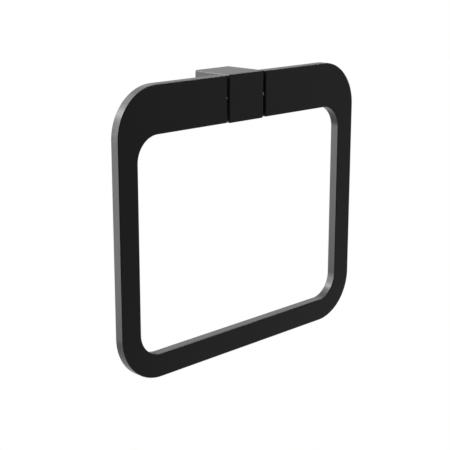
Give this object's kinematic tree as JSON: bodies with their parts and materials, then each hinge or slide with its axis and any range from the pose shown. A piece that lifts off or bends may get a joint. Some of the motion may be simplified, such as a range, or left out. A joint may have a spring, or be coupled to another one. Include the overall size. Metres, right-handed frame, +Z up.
{
  "type": "towel ring holder",
  "caption": "Flat matte black towel ring with rounded corners that swings on short steel pins in a square wall block, which hangs on a hidden dovetail bracket.",
  "frame": {"origin": "middle of the block's back, on the wall plane", "axes": "+Y into the wall, +X to the right as seen from the room, +Z up"},
  "size_m": [0.2, 0.029, 0.1724],
  "materials": {
    "black_coat": "fine matte black powder coat",
    "bright_steel": "bright ground steel",
    "plain_steel": "plain zinc plated steel"
  },
  "bodies": {
    "wall_mount": {"wall_block": "black_coat", "wall_bracket": "plain_steel", "grub_screw": "plain_steel"},
    "swing_ring": {"ring": "black_coat", "left_pivot_pin": "bright_steel", "right_pivot_pin": "bright_steel"}
  },
  "joints": [
    {"name": "ring_swing", "type": "hinge", "parent": "wall_mount", "child": "swing_ring", "pos_m": [0, -0.026, 0], "axis": [-1, 0, 0], "range_deg": [-8.1, 188.1]}
  ]
}
